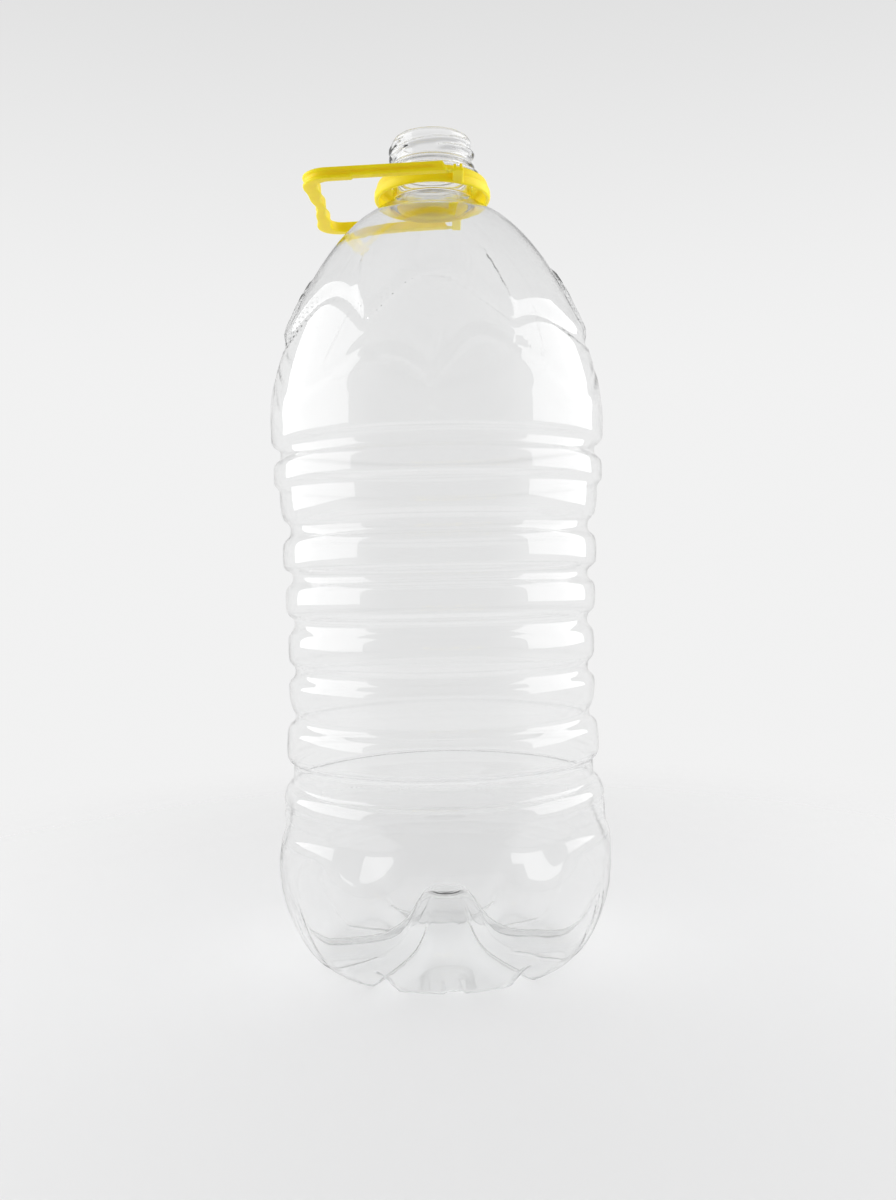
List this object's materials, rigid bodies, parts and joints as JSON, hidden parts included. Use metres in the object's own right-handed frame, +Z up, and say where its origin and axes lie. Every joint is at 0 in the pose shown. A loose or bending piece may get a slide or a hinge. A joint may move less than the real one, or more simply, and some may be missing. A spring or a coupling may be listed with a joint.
{
  "type": "water bottle",
  "caption": "Large clear blow-moulded water bottle with a ribbed body, domed shoulder, threaded neck and a swinging push-fit carry handle.",
  "frame": {"origin": "centre of the plane that the bottle's feet stand on", "axes": "+Z up along the bottle, +X away from the resting bail, +Y to the rear hinge"},
  "size_m": [0.1502, 0.1503, 0.3682],
  "materials": {
    "clear_pet": "clear blown plastic, high gloss",
    "yellow_plastic": "injection-moulded plastic, soft gloss"
  },
  "bodies": {
    "bottle": {"bottle_shell": "clear_pet"},
    "ring": {"handle_ring": "yellow_plastic", "hinge_web_front": "yellow_plastic", "hinge_web_rear": "yellow_plastic"},
    "bail": {"handle_bail": "yellow_plastic"}
  },
  "joints": [
    {"name": "ring_swivel", "type": "hinge", "parent": "bottle", "child": "ring", "pos_m": [0, 0, 0.3447], "axis": [0, 0, 1], "continuous": true},
    {"name": "bail_swing", "type": "hinge", "parent": "ring", "child": "bail", "pos_m": [0.0082, 0, 0.3416], "axis": [0, 1, 0], "range_deg": [0, 100]}
  ]
}
